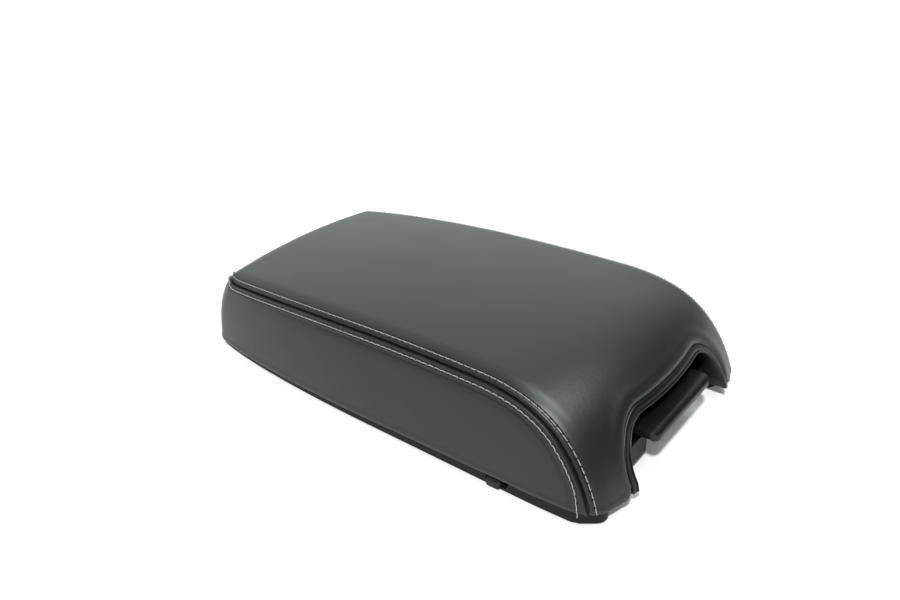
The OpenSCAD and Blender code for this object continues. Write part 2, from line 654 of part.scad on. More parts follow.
// Return spring: a coil round the pin with one leg on the housing and one on the paddle
spring_r = 3.4;
wire_r = 0.55;
spring_turns = 5;
spring_y0 = 13.5;
spring_y1 = 22.5;
wire_sides = 6;
turn_steps = 10;
spring_path = concat(
    [[housing_rear + roof_t + 0.8, spring_y0, latch_z + spring_r]],
    [for (k = [0:spring_turns*turn_steps])
        let (a = 90 - 360*k/turn_steps)
        [latch_x + spring_r*cos(a), lerp(spring_y0, spring_y1, k/(spring_turns*turn_steps)), latch_z + spring_r*sin(a)]],
    [[latch_x + 16, spring_y1 + 0.6, paddle_top + wire_r + 0.15]]);
module tube(path, r, sides) {
    n = len(path);
    function ahead(i) = let (d = path[min(n - 1, i + 1)] - path[max(0, i - 1)]) d/norm(d);
    rings = [for (i = [0:n - 1])
        let (t = ahead(i), u = cross(t, [0, 1, 0]), v = u/norm(u), w = cross(t, v))
        each [for (k = [0:sides - 1]) path[i] + r*(v*cos(360*k/sides) + w*sin(360*k/sides))]];
    faces = concat([[for (k = [0:sides - 1]) k]],
                   [for (i = [0:n - 2], k = [0:sides - 1])
                        let (a = i*sides + k, b = i*sides + (k + 1)%sides)
                        each [[b, a, a + sides], [b, a + sides, b + sides]]],
                   [[for (k = [sides - 1:-1:0]) (n - 1)*sides + k]]);
    polyhedron(rings, faces, convexity = 10);
}
module latch_spring() color([0.75, 0.75, 0.77]) tube(spring_path, wire_r, wire_sides);

// Hinge: three knuckles on the fixed leaf, two on the lid's leaf
knuckles = 5;
knuckle_l = hinge_w/knuckles;
knuckle_gap = 0.3;
bush_r = 3.02;
base_front = rear + 51;
lid_leaf_front = rear + 59;
bolt_x = [rear + 19, rear + 43];
bolt_y = 34;
steel = [0.55, 0.56, 0.58];
function knuckle_y(k) = -hinge_w/2 + k*knuckle_l;
module knuckle_rows(ks, r, grow)
    for (k = ks) turned_to_y(knuckle_y(k) + knuckle_gap/2 - grow, knuckle_y(k + 1) - knuckle_gap/2 + grow)
        translate([pin_x, pin_z]) circle(r);
module leaf(front_x, z, ks, others, bore) difference() {
    union() {
        difference() {
            translate([pin_x, -hinge_w/2, z]) cube([front_x - pin_x - 6, hinge_w, leaf_t]);
            knuckle_rows(others, knuckle_d/2 + 0.5, knuckle_gap);
        }
        raise(z, leaf_t) rounded_rect(pin_x + 12, front_x, hinge_w/2, 6);
        knuckle_rows(ks, knuckle_d/2, 0);
    }
    turned_to_y(-60, 60) translate([pin_x, pin_z]) circle(bore);
    children();
}
module hinge_base_leaf() color(steel)
    leaf(base_front, 0, [0, 2, 4], [1, 3], hinge_pin_d/2 + 0.02)
        for (x = bolt_x, y = [-bolt_y, bolt_y]) translate([x, y, -1]) cylinder(h = 5, d = bolt_hole_d);
module lid_hinge_leaf() color(steel)
    leaf(lid_leaf_front, knuckle_d - leaf_t, [1, 3], [0, 2, 4], bush_r + 0.03)
        both_ways(leaf_screws_at) cylinder(h = 20, r = 2.1);
module hinge_pin() color([0.72, 0.72, 0.74]) {
    end = hinge_w/2;
    difference() {
        turned_to_y(-end - 0.2, end + 2.6) translate([pin_x, pin_z]) circle(hinge_pin_d/2);
        turned_to_y(end + 0.6, end + 1.6) translate([pin_x, pin_z]) difference() {
            circle(hinge_pin_d);
            circle(hinge_pin_d/2 - 0.6);
        }
    }
    turned_to_y(-end - 2, -end - 0.15) translate([pin_x, pin_z]) circle(hinge_pin_d/2 + 1.5);
}
module hinge_bushes() color([0.85, 0.84, 0.78])
    for (k = [1, 3])
        turned_to_y(knuckle_y(k) + knuckle_gap/2, knuckle_y(k + 1) - knuckle_gap/2)
            translate([pin_x, pin_z]) difference() {
                circle(bush_r);
                circle(hinge_pin_d/2 + 0.04);
            }
module pin_clip() color([0.3, 0.3, 0.32])
    turned_to_y(hinge_w/2 + 0.7, hinge_w/2 + 1.5) translate([pin_x, pin_z]) difference() {
        circle(hinge_pin_d/2 + 1.6);
        circle(hinge_pin_d/2 - 0.55);
        translate([-1.6, 0]) square([3.2, 10]);
    }

// Pan-head tapping screws with a cross recess: seat is the height of the head's flat, reach
// the length above it
module pan_screw(seat, reach) difference() {
    union() {
        translate([0, 0, seat - 1.6]) cylinder(h = 1.6, r = 4);
        translate([0, 0, seat - 2.4]) cylinder(h = 0.81, r1 = 2.8, r2 = 4, $fn = 48);
        translate([0, 0, seat - 0.1]) cylinder(h = reach, r = pilot_r - 0.05);
    }
    for (a = [0, 90]) translate([0, 0, seat - 2.5]) rotate(a) cube([4.2, 0.9, 2.8], center = true);
}
screw_colour = [0.2, 0.2, 0.21];
module panel_screws() color(screw_colour) both_ways(panel_screws_at) pan_screw(counterbore_z, 15);
module leaf_screws() color(screw_colour) both_ways(leaf_screws_at) pan_screw(knuckle_d - leaf_t, 13);
module housing_screws() color(screw_colour) both_ways(housing_screws_at) pan_screw(roof_z, 8);

cover_top();
cover_side_left();
cover_side_right();
foam_pad();
upper_shell();
inner_panel();
latch_bezel();
latch_housing();
latch_paddle();
latch_hook();
hook_rivets();
latch_pin();
latch_spring();
hinge_base_leaf();
lid_hinge_leaf();
hinge_pin();
hinge_bushes();
pin_clip();
panel_screws();
leaf_screws();
housing_screws();
bump_stop_front_left();
bump_stop_front_right();
bump_stop_rear_left();
bump_stop_rear_right();
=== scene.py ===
# A stitched armrest lid for a car's centre console, dressed over its CAD model.
# Lengths in the making of a piece are in millimetres and become metres in its mesh.
import math

import bmesh
import bpy
import numpy as np
from mathutils import Matrix, Vector


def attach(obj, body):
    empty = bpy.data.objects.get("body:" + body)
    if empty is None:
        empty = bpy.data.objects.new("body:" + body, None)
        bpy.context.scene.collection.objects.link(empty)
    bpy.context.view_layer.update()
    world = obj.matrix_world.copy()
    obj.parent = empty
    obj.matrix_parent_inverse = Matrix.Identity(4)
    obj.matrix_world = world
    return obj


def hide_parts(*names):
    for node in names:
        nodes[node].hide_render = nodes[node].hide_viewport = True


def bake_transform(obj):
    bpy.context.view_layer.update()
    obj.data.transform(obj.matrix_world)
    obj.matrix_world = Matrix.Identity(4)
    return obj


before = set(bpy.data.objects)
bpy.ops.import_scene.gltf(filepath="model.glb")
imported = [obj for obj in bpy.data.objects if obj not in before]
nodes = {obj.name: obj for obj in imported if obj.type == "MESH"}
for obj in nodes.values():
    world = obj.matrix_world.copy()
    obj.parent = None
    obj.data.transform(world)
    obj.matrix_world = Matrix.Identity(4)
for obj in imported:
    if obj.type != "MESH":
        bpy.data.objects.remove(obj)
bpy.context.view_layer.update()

# The view that the photograph was taken from: a standing look down at the front corner,
# with a short lens and a slight tilt of the horizon.
view_turn, view_rise, view_tilt = math.radians(38.44), math.radians(28.485), math.radians(-1.512)
view_centre, view_distance = Vector((0.00335, -0.01188, 0.05243)), 0.54664
away = Vector((math.sin(view_turn) * math.cos(view_rise), -math.cos(view_turn) * math.cos(view_rise),
               math.sin(view_rise)))
level = Vector((math.cos(view_turn), math.sin(view_turn), 0))
upright = away.cross(level)
rightwards = math.cos(view_tilt) * level + math.sin(view_tilt) * upright
camera = bpy.data.objects.new("camera", bpy.data.cameras.new("camera"))
bpy.context.scene.collection.objects.link(camera)
camera.data.sensor_width, camera.data.lens = 36, 34.408
camera.data.clip_start, camera.data.clip_end = 0.01, 50
camera.matrix_world = (Matrix.Translation(view_centre + away * view_distance)
                       @ Matrix([rightwards, away.cross(rightwards), away]).transposed().to_4x4())
bpy.context.scene.camera = camera
bpy.context.scene.view_settings.view_transform = "Standard"


# The white sweep that the lid was photographed on: a wide sheet of paper, which shows its
# white to the camera and in whatever mirrors it.
class Wire:
    """One output in a node tree. Sums written on it become Math nodes."""

    def __init__(self, look, socket):
        self.look, self.socket = look, socket

    def maths(self, kind, first, second):
        return self.look.node("ShaderNodeMath", {"operation": kind}, first, second)

    def __add__(self, other):
        return self.maths("ADD", self, other)

    def __mul__(self, other):
        return self.maths("MULTIPLY", self, other)

    def __rsub__(self, other):
        return self.maths("SUBTRACT", other, self)

    __radd__, __rmul__ = __add__, __mul__


class Look:
    """A finish being made: node() adds a node, wear() sets what its surface or background reads."""

    def __init__(self, name, kind=bpy.data.materials):
        self.made = kind.new(name)
        self.made.use_nodes = True
        self.tree = self.made.node_tree
        self.skin = self.tree.nodes.get("Principled BSDF") or self.tree.nodes["Background"]

    def feed(self, socket, value):
        if isinstance(value, Wire):
            self.tree.links.new(value.socket, socket)
        else:
            socket.default_value = (*value, 1) if socket.type == "RGBA" else value

    def node(self, kind, settings=None, *values, out=0, **named):
        """A node's output, with the inputs given in order or by name. None leaves one as it is."""
        made = self.tree.nodes.new(kind)
        for key, value in (settings or {}).items():
            setattr(made, key, value)
        by_name = {key.replace("_", " "): value for key, value in named.items()}
        for key, value in [*enumerate(values), *by_name.items()]:
            if value is not None:
                self.feed(made.inputs[key], value)
        return Wire(self, made.outputs[out])

    def place(self, turn=(0, 0, 0), size=(1, 1, 1)):
        here = self.node("ShaderNodeTexCoord", out="Object")
        return self.node("ShaderNodeMapping", Vector=here, Rotation=turn, Scale=size)

    def mottle(self, scale, detail=3, rough=0.5, where=None):
        return self.node("ShaderNodeTexNoise", Vector=where or self.place(), Scale=scale,
                         Detail=detail, Roughness=rough)

    def blend(self, share, first, second):
        return self.node("ShaderNodeMix", {"data_type": "RGBA"}, share, *[None] * 5, first, second, out=2)

    def bumps(self, height, strength, depth, over=None):
        return self.node("ShaderNodeBump", Height=height, Strength=strength, Distance=depth, Normal=over)

    def wear(self, **sockets):
        for key, value in sockets.items():
            self.feed(self.skin.inputs[key.replace("_", " ")], value)


def mesh_piece(name, points, faces, look):
    """A smooth piece from points in millimetres."""
    mesh = bpy.data.meshes.new(name)
    mesh.from_pydata([tuple(0.001 * float(v) for v in p) for p in points], [], faces)
    mesh.shade_smooth()
    mesh.materials.append(look)
    piece = bpy.data.objects.new(name, mesh)
    bpy.context.scene.collection.objects.link(piece)
    return piece


sweep_half, sweep_z, sweep_glow = 9000, -0.3, 0.15
paper = Look("white_paper")
shown = (paper.node("ShaderNodeLightPath", out="Is Camera Ray")
         + paper.node("ShaderNodeLightPath", out="Is Glossy Ray"))
paper.wear(Base_Color=(0.94, 0.94, 0.94), Roughness=0.9, Specular_IOR_Level=0.0,
           Emission_Color=(1.0, 1.0, 1.0), Emission_Strength=shown * sweep_glow)
corners = [(-1, -1), (1, -1), (1, 1), (-1, 1)]
floor = mesh_piece("floor", [(x * sweep_half, y * sweep_half, sweep_z) for x, y in corners],
                   [(0, 1, 2, 3)], paper.made)

# The light: one lamp in front on the near side, and a room with a bright wall behind on the
# far left and a window overhead. Only what mirrors the room gets all of its light.
lamp_from = Vector((0.295, -0.74, 1.0))
lamp = bpy.data.objects.new("lamp", bpy.data.lights.new("lamp", "SUN"))
bpy.context.scene.collection.objects.link(lamp)
lamp.data.energy, lamp.data.angle = 3.0, math.radians(4)
lamp.rotation_mode = "QUATERNION"
lamp.rotation_quaternion = lamp_from.to_track_quat("Z", "Y")

room = Look("room", bpy.data.worlds)
bpy.context.scene.world = room.made
facing = room.node("ShaderNodeTexCoord", out="Generated")


def bright_patch(towards, rim, core, least, most):
    """Brightness that grows around a direction, between two cosines of the angle from it."""
    near = room.node("ShaderNodeVectorMath", {"operation": "DOT_PRODUCT"}, facing, towards, out="Value")
    return room.node("ShaderNodeMapRange", {"interpolation_type": "SMOOTHSTEP"}, Value=near,
                     From_Min=rim, From_Max=core, To_Min=least, To_Max=most)


bright_wall = bright_patch((-0.80, 0.50, 0.30), 0.2, 0.92, 0.06, 1.25)
window = bright_patch((0.25, 0.10, 0.96), 0.92, 0.98, 0.0, 10.0)
unmirrored_share = 0.3
to_camera = room.node("ShaderNodeLightPath", out="Is Camera Ray")
to_mirrors = room.node("ShaderNodeLightPath", out="Is Glossy Ray")
room_light = (unmirrored_share + (1 - unmirrored_share) * to_mirrors) * (bright_wall + window)
room.wear(Color=room.blend(to_camera, (0.91, 1.0, 1.0), (1.0, 1.0, 1.0)),
          Strength=to_camera + (1 - to_camera) * room_light)

# Form of the lid: the side view from the rear hem over the top to the front hem, crowned
# across, rounded along both shoulders, with side walls that lean out to the hem.
lid_l, lid_w, rear = 330.0, 165.0, -161.65
front = rear + lid_l
rear_h, front_h, top_bow = 54.5, 65.0, 8.0
rear_round_l, rear_round_h = 25.0, 41.0
front_round_l, front_full_l, front_full_h, front_ease = 92.0, 3.6, 1.36, 1.6
crown, front_bow, shoulder_r = 4.8, 14.5, 14.0
front_wider, side_flare, side_belly = 3.0, 9.4, 1.2
rear_taper_l, rear_narrow = 160.0, 18.5
front_taper_l, front_narrow = 60.0, 7.0
rear_hem, front_hem, hem_inset = 2.4, 8.2, 8.0
far_side = np.array([1, -1, 1])


def along(x):
    return (x - rear) / lid_l


def smooth(v):
    v = np.clip(v, 0, 1)
    return v * v * (3 - 2 * v)


def top_line(x):
    return rear_h + (front_h - rear_h) * along(x) + top_bow * 4 * along(x) * (1 - along(x))


def hem_line(x):
    return rear_hem + (front_hem - rear_hem) * along(x)


def narrowed(amount, depth):
    u = np.clip(depth, 0, 0.99)
    return amount * (1 - np.sqrt(1 - u * u))


def side_y(x, z):
    """Distance of the side wall from the middle."""
    h = rear_h + (front_h - rear_h) * along(x)
    v = np.clip((h - z) / h, 0, 1)
    half = (lid_w / 2 + front_wider * (along(x) - 0.5)
            - narrowed(rear_narrow, (rear + rear_taper_l - x) / rear_taper_l)
            - narrowed(front_narrow, (x - front + front_taper_l) / front_taper_l))
    return half + side_belly * 4 * v * (1 - v) + side_flare * v


def outline(t):
    """The side view at t: up the rear to 1, round it to 2, along the top to 3, and down in front to 4."""
    t = np.asarray(t, float)
    f = np.clip(t - 1, 0, 1) * math.pi / 2
    u = np.clip(t - 3, 0, 1) ** front_ease * math.pi / 2
    rise = hem_line(rear) + (top_line(rear) - rear_round_h - hem_line(rear)) * np.clip(t, 0, 1)
    x1 = rear + rear_round_l * (1 - np.cos(f))
    x2 = rear + rear_round_l + (lid_l - rear_round_l - front_round_l) * np.clip(t - 2, 0, 1)
    x3 = front - front_round_l * (1 - np.sin(u) ** (2 / front_full_l))
    foot = hem_line(front)
    z3 = foot + (top_line(x3) - foot) * np.clip(np.cos(u), 0, 1) ** (2 / front_full_h)
    stage = [t < 1, t < 2, t < 3]
    return (np.select(stage, [rear + 0 * t, x1, x2], x3),
            np.select(stage, [rise, top_line(x1) - rear_round_h * (1 - np.sin(f)), top_line(x2)], z3))


# Place and width of the seam on the shoulder, and how far and where it turns in behind
seam_angle, rear_turn, turn_starts_t, turn_t = 49.0, 19.0, 2.06, 0.76


class Stations:
    """The lid's cross sections at the places t along its side view."""

    def __init__(self, t):
        self.t = np.asarray(t, float)
        self.x, self.z = outline(self.t)
        a, b = outline(np.minimum(4, self.t + 0.01)), outline(np.maximum(0, self.t - 0.01))
        size = np.hypot(a[0] - b[0], a[1] - b[1])
        self.nx, self.nz = -(a[1] - b[1]) / size, (a[0] - b[0]) / size
        in_front = smooth((self.x - front + front_round_l) / front_round_l)
        self.drop = crown + (front_bow - crown) * in_front
        end = np.full_like(self.x, math.pi / 2)
        for _ in range(3):
            x, z = self.shoulder_end(end)
            end = math.pi / 2 - np.arctan(side_y(x - self.nx / 2, z - self.nz / 2)
                                          - side_y(x + self.nx / 2, z + self.nz / 2))
        self.end = end
        self.foot = self.shoulder_end(end)
        self.wide = side_y(*self.foot) + shoulder_r * (1 - np.sin(end))
        run = np.concatenate([[0], np.cumsum(np.hypot(np.diff(self.x), np.diff(self.z)))])
        self.share = run / run[-1]

    def shoulder_end(self, a):
        down = self.drop + shoulder_r * (1 - np.cos(a))
        return self.x - self.nx * down, self.z - self.nz * down

    def lowered(self, y, down):
        return np.stack([self.x[:, None] - self.nx[:, None] * down, y,
                         self.z[:, None] - self.nz[:, None] * down], -1)

    def rounded(self, a):
        """Points on the shoulder at the angles a, in radians, for a table of a."""
        a = np.minimum(a, self.end[:, None])
        y = self.wide[:, None] - shoulder_r * (1 - np.sin(a))
        flat = np.minimum(self.wide[:, None] - shoulder_r + shoulder_r * np.sin(a), self.wide[:, None])
        return self.lowered(y, self.drop[:, None] * (flat / self.wide[:, None]) ** 2
                            + shoulder_r * (1 - np.cos(a)))

    def across(self, u):
        """Points at the distances u from the middle, over the crown and round the shoulder."""
        flat = (self.wide - shoulder_r)[:, None]
        y = np.minimum(u, flat)
        crowned = self.lowered(y, self.drop[:, None] * (y / self.wide[:, None]) ** 2)
        round_part = self.rounded(np.maximum(u - flat, 0) / shoulder_r)
        return np.where((u < flat)[..., None], crowned, round_part)

    def seam_u(self):
        """Distance of the seam from the middle: along the shoulder, and turning in behind."""
        return (self.wide - shoulder_r + shoulder_r * math.radians(seam_angle)
                - rear_turn * smooth((turn_starts_t - self.t) / turn_t))[:, None]

    def wall(self, f):
        """Points on the side wall from the shoulder (0) to the hem (1), for a table of f."""
        start, stop = self.foot[0][0] + hem_inset, self.foot[0][-1] - hem_inset
        hx = (start + (stop - start) * self.share)[:, None]
        x = self.foot[0][:, None] * (1 - f) + hx * f
        z = self.foot[1][:, None] * (1 - f) + hem_line(hx) * f
        return np.stack([x, side_y(x, z), z], -1)


# The cover's points lie in rows across the seam, a quarter of a stitch apart
stitch_pitch, rows_per_stitch, sewn_from = 4.35, 4, 1.5
fine = Stations(np.linspace(0, 4, 2001))
seam_path = fine.across(fine.seam_u())[:, 0]
seam_run = np.concatenate([[0], np.cumsum(np.linalg.norm(np.diff(seam_path, axis=0), axis=1))])
seam_l = seam_run[-1]
stitches = int((seam_l - 2 * sewn_from) / stitch_pitch)
pitch = (seam_l - 2 * sewn_from) / stitches
rows_at = sewn_from + np.arange(stitches * rows_per_stitch + 1) * pitch / rows_per_stitch
rows_at = np.concatenate([[0], rows_at, [seam_l]])
sections = Stations(np.interp(rows_at, seam_run, fine.t))


def facing_out(grid):
    """Unit normals of a table of points whose rows run forward and columns to the near side."""
    a, b = np.gradient(grid, axis=0), np.gradient(grid, axis=1)
    n = np.cross(b, a)
    return n / np.maximum(np.linalg.norm(n, axis=-1, keepdims=True), 1e-9)


def tucked(gap, radius):
    """How deep a rolled edge lies at a distance from where it turns in."""
    g = np.clip(gap / radius, 0, 1)
    return radius * (1 - np.sqrt(1 - (1 - g) ** 2))


def bell(x, middle, width):
    return np.exp(-((x - middle) / width) ** 2)


def unevenness(points):
    """The slow waves of hand-laid cloth over foam: a tenth of a millimetre, and half of that."""
    x, y, z = points[..., 0] / 1000, points[..., 1] / 1000, points[..., 2] / 1000
    return (0.10 * np.sin(41 * x + 3 * np.sin(37 * y)) * np.sin(53 * y + 2 * np.sin(29 * x) + 9 * z)
            + 0.05 * np.sin(113 * x + 71 * y + 90 * z) * np.sin(97 * y - 63 * x))


# The seam: both panels turn under along it and are stitched down on each side, which
# leaves a sharp valley, a raised band on each side and a dimple at every needle hole.
seam_row, row_spread, spread_l = 3.4, 1.8, 22.0
row_w, row_depth, hole_w, hole_depth = 0.6, 0.28, 0.75, 0.45
turned_r, turned_depth, turned_under = 1.5, 1.3, 1.0
near_seam = np.array([11.9, 10.8, 9.7, 8.6, 7.5, 6.6, 5.8, 5.1, 4.6, 4.2, 3.9, 3.65, 3.4, 3.15, 2.9,
                      2.6, 2.3, 2.0, 1.7, 1.45, 1.25, 1.0, 0.75, 0.52, 0.33, 0.18, 0.08, 0.02, 0.0, 0.0])
far_off = 30.0


def side_row(at):
    """Distance of the side panel's row from the seam: it spreads a little towards the front hem."""
    return seam_row + row_spread * smooth((at - seam_l + spread_l) / spread_l)


def seam_relief(from_seam, swell, crest, spread, row=seam_row):
    """Height of a panel beside its seam, and how far each point lies in a needle hole, which the cover's
    colour darkens as painted shade.
    """
    phase = ((rows_at[:, None] - sewn_from) / pitch) % 1
    hole = bell(np.minimum(phase, 1 - phase) * pitch, 0, hole_w)
    line = bell(from_seam, row, row_w)
    height = (swell * bell(from_seam, crest, spread) - line * (row_depth + hole_depth * hole)
              - turned_depth * tucked(from_seam, turned_r) - turned_depth * (from_seam <= 0))
    return height, line * hole


# Top panel of the cover: one piece of grained black leathercloth over foam, with a bite
# cut for the latch notch in front and one for the hinge behind, both with rolled edges.
notch_half, notch_h, notch_r, notch_lean = 62.1, 46.3, 29.0, math.radians(7.5)
hinge_half, hinge_top, hinge_r, cut_corner = 50.0, 10.8, 4.0, 4.0
front_part_x, rear_part_x, no_opening = 60, -130, 99.0
opening_bead_h, opening_bead_in, opening_bead_w = 0.55, 4.2, 2.4
hem_bead_h, hem_bead_in, hem_bead_w = 0.35, 2.6, 1.0
hem_roll, opening_roll, roll_grows_l = 1.4, 2.9, 12
fold_depths, least_reach, cloth_t = (1, 2.6, 4.6), 0.35, 0.6
middle_columns = 24


def from_notch(y, z):
    """Distance in a front view from the notch's outline, growing outwards."""
    y = np.abs(y)
    cy, cz = notch_half - notch_r, notch_h - notch_r
    turn = np.arctan2(z - cz, y - cy)
    leg = (y - cy) * math.cos(notch_lean) + (z - cz) * math.sin(notch_lean) - notch_r
    return np.where(y < cy, np.where(z > cz, z - notch_h, leg),
                    np.where(turn > -notch_lean, np.hypot(y - cy, z - cz) - notch_r, leg))


def from_hinge(y, z):
    """Distance in a rear view from the hinge's opening, a rectangle with round corners."""
    qy, qz = np.abs(y) - hinge_half + hinge_r, z - hinge_top + hinge_r
    outside = np.hypot(np.maximum(qy, 0), np.maximum(qz, 0))
    return outside + np.minimum(np.maximum(qy, qz), 0) - hinge_r


def from_opening(points):
    x, y, z = points[..., 0], points[..., 1], points[..., 2]
    behind = np.where(x < rear_part_x, from_hinge(y, z), no_opening)
    return np.where(x > front_part_x, from_notch(y, z), behind)


def from_cut(points):
    """Distance from the cover's edge: the hem, the notch or the hinge, with round corners between."""
    a, b = points[..., 2] - hem_line(points[..., 0]), from_opening(points)
    return np.where((a < cut_corner) & (b < cut_corner),
                    cut_corner - np.hypot(cut_corner - a, cut_corner - b), np.minimum(a, b))


def edge_roll(points):
    """Radius at which the cover turns in: small at the hem, and larger round the opening."""
    hem = points[..., 2] - hem_line(points[..., 0])
    return hem_roll + (opening_roll - hem_roll) * smooth((hem - from_opening(points)) / roll_grows_l)


class Sheet:
    """Quads of a cover panel, trimmed at its cut edge and rolled in along it."""

    def __init__(self, grid, normals, marks):
        rows, cols = grid.shape[:2]
        self.points = list(grid.reshape(-1, 3))
        self.normals = list(normals.reshape(-1, 3))
        self.marks = list(marks.reshape(-1))
        self.faces, self.ends, links = [], {}, {}
        clear = (from_cut(grid) - edge_roll(grid)).reshape(-1)
        for i in range(rows - 1):
            for j in range(cols - 1):
                quad = [i * cols + j, i * cols + j + 1, (i + 1) * cols + j + 1, (i + 1) * cols + j]
                inside = [clear[k] >= 0 for k in quad]
                if all(inside):
                    self.faces.append(quad)
                elif any(inside):
                    self.trim(quad, inside, clear, links)
        self.roll_in(links)

    def trim(self, quad, inside, clear, links):
        """Keeps the part of a quad on the cover, and notes the edge that the cut leaves."""
        kept, leaving, coming = [], [], []
        for k in range(4):
            a, b = quad[k], quad[(k + 1) % 4]
            if inside[k]:
                kept.append(a)
            if inside[k] != inside[(k + 1) % 4]:
                cut = self.between(a, b, clear)
                kept.append(cut)
                (leaving if inside[k] else coming).append(cut)
        self.faces.append(kept)
        if len(leaving) == 1:
            links[leaving[0]] = coming[0]

    def between(self, a, b, clear):
        key = (min(a, b), max(a, b))
        if key not in self.ends:
            f = clear[a] / (clear[a] - clear[b])
            self.ends[key] = len(self.points)
            for table in (self.points, self.normals, self.marks):
                table.append(table[a] * (1 - f) + table[b] * f)
        return self.ends[key]

    def roll_in(self, links):
        """Turns the cloth in along every cut edge: a quarter round, and then straight in."""
        for start in set(links) - set(links.values()):
            chain = [start]
            while chain[-1] in links:
                chain.append(links[chain[-1]])
            edge = np.array([self.points[k] for k in chain])
            out = np.array([self.normals[k] for k in chain])
            out /= np.linalg.norm(out, axis=1, keepdims=True)
            step = 0.01
            slope = np.stack([from_cut(edge + step * d) - from_cut(edge - step * d) for d in np.eye(3)], -1)
            slope[:, 0] = 0
            slope /= np.maximum(np.linalg.norm(slope, axis=1, keepdims=True), 1e-9)
            lie = slope - out * np.sum(slope * out, axis=1, keepdims=True)
            reach = np.linalg.norm(lie, axis=1, keepdims=True)
            lie = -lie / np.maximum(reach, 1e-9)
            reach = np.maximum(reach, least_reach)
            inward = slope * np.sum(slope * out, axis=1, keepdims=True) - out
            inward /= np.maximum(np.linalg.norm(inward, axis=1, keepdims=True), 1e-9)
            size = edge_roll(edge)[:, None]
            last = chain
            for degrees, sink in [(a, 0) for a in range(15, 91, 15)] + [(90, d) for d in fold_depths]:
                a = math.radians(degrees)
                ring = (edge + lie * size / reach * math.sin(a) - out * size * (1 - math.cos(a))
                        + inward * sink)
                new = list(range(len(self.points), len(self.points) + len(ring)))
                self.points.extend(ring)
                self.marks.extend([0.0] * len(ring))
                self.normals.extend(out)
                for k in range(len(ring) - 1):
                    self.faces.append([last[k + 1], last[k], new[k], new[k + 1]])
                last = new


def panel(name, grid, normals, marks, look, stands_for):
    """A cover panel from its table of finished points, given the thickness of its cloth."""
    sheet = Sheet(grid, normals, marks)
    used = sorted({k for f in sheet.faces for k in f})
    place = {k: n for n, k in enumerate(used)}
    piece = mesh_piece(name, [sheet.points[k] for k in used],
                       [[place[k] for k in f] for f in sheet.faces], look)
    # The needle-hole amounts go on as an attribute that the cover's colour reads to paint shade into the
    # holes.
    hole_shade = piece.data.attributes.new("needle_hole_painted_shade", "FLOAT", "POINT")
    hole_shade.data.foreach_set("value", [float(sheet.marks[k]) for k in used])
    thick = piece.modifiers.new("cloth", "SOLIDIFY")
    thick.thickness, thick.offset = cloth_t / 1000, -1
    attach(piece, "lid")
    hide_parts(stands_for)


def raised(grid, relief, seam, beside):
    """The cover's face with its seam relief and the foam's bead along the cut edges, and its normals."""
    up = facing_out(grid * far_side) * far_side
    up[:, seam] = up[:, beside]
    from_hem = grid[..., 2] - hem_line(grid[..., 0])
    bead = (opening_bead_h * bell(from_opening(grid), opening_bead_in, opening_bead_w)
            + hem_bead_h * bell(from_hem, hem_bead_in, hem_bead_w))
    return grid + up * (relief + bead + unevenness(grid))[..., None], up


def both_halves(half):
    """A table from the far side to the near one, from its near half, in the panel's order."""
    far = half[:, :0:-1]
    return np.concatenate([far * far_side if half.ndim == 3 else far, half], axis=1)[:, ::-1]


hide = Look("grained_leathercloth")
grain = hide.node("ShaderNodeTexVoronoi", {"feature": "SMOOTH_F1"}, Vector=hide.place(), Scale=1500.0,
                  Smoothness=0.4, Randomness=0.9)
creases = hide.mottle(420, 4, 0.6)
cloud = hide.mottle(22)
# Painted shade: the needle holes are darkened towards near black, standing in for the shade that falls in
# the dimples.
painted_hole_shade = hide.node("ShaderNodeAttribute", {"attribute_name": "needle_hole_painted_shade"}, out="Fac")
tone = hide.blend(cloud, (0.0108, 0.0124, 0.0128), (0.0140, 0.0160, 0.0165))
tone = hide.blend(grain * 0.35, tone, (0.009, 0.0096, 0.0100))
hide.wear(Base_Color=hide.blend(painted_hole_shade, tone, (0.003, 0.003, 0.003)), Specular_IOR_Level=0.5,
          Roughness=0.31 + 0.08 * cloud + 0.06 * grain,
          Normal=hide.bumps(creases, 0.25, 0.0003, hide.bumps(1 - grain, 0.35, 0.00012)))

seam_u = sections.seam_u()
top_u = np.concatenate([(seam_u - near_seam[0]) * np.linspace(0, 1, middle_columns + 1)[:-1],
                        seam_u - near_seam], axis=1)
from_seam = np.concatenate([np.full(middle_columns, far_off), near_seam])[None] + 0 * rows_at[:, None]
relief, hole_shade = seam_relief(from_seam, swell=0.40, crest=2.1, spread=0.9)
relief[:, -1] -= turned_under
top, up = raised(sections.across(top_u), relief, -1, -3)
panel("cover_top_panel", both_halves(top), both_halves(up), both_halves(hole_shade), hide.made, "cover_top")

# Side panels of the cover: the same leathercloth, sewn to the top along the shoulder, where
# its turned edge stands up as a sharp ridge, and folded in under the lid at the hem. Below
# the row the cloth is drawn in a little.
shoulder_columns, wall_columns, wall_ease = 8, 23, 1.8
drawn_in, drawn_below, drawn_w, drawn_from_t, drawn_fade_t = 0.4, 2.4, 1.7, 2.06, 0.3
side_near = near_seam[near_seam < 6][::-1]
shoulder_end = (sections.wide - shoulder_r + shoulder_r * sections.end)[:, None]
side_u = seam_u + side_near
last_u = side_u[:, -1:]
side_u = np.concatenate([side_u, last_u + (shoulder_end - last_u)
                         * np.linspace(0, 1, shoulder_columns + 1)[1:]], axis=1)
wall_f = np.tile(1 - np.linspace(1, 0, wall_columns + 1)[1:] ** wall_ease, (len(rows_at), 1))
side = np.concatenate([sections.across(side_u), sections.wall(wall_f)], axis=1)
from_seam = np.concatenate([side_u - seam_u, far_off + 0 * wall_f], axis=1)
row = side_row(rows_at)[:, None]
relief, hole_shade = seam_relief(from_seam, swell=1.15, crest=1.2, spread=0.5, row=row)
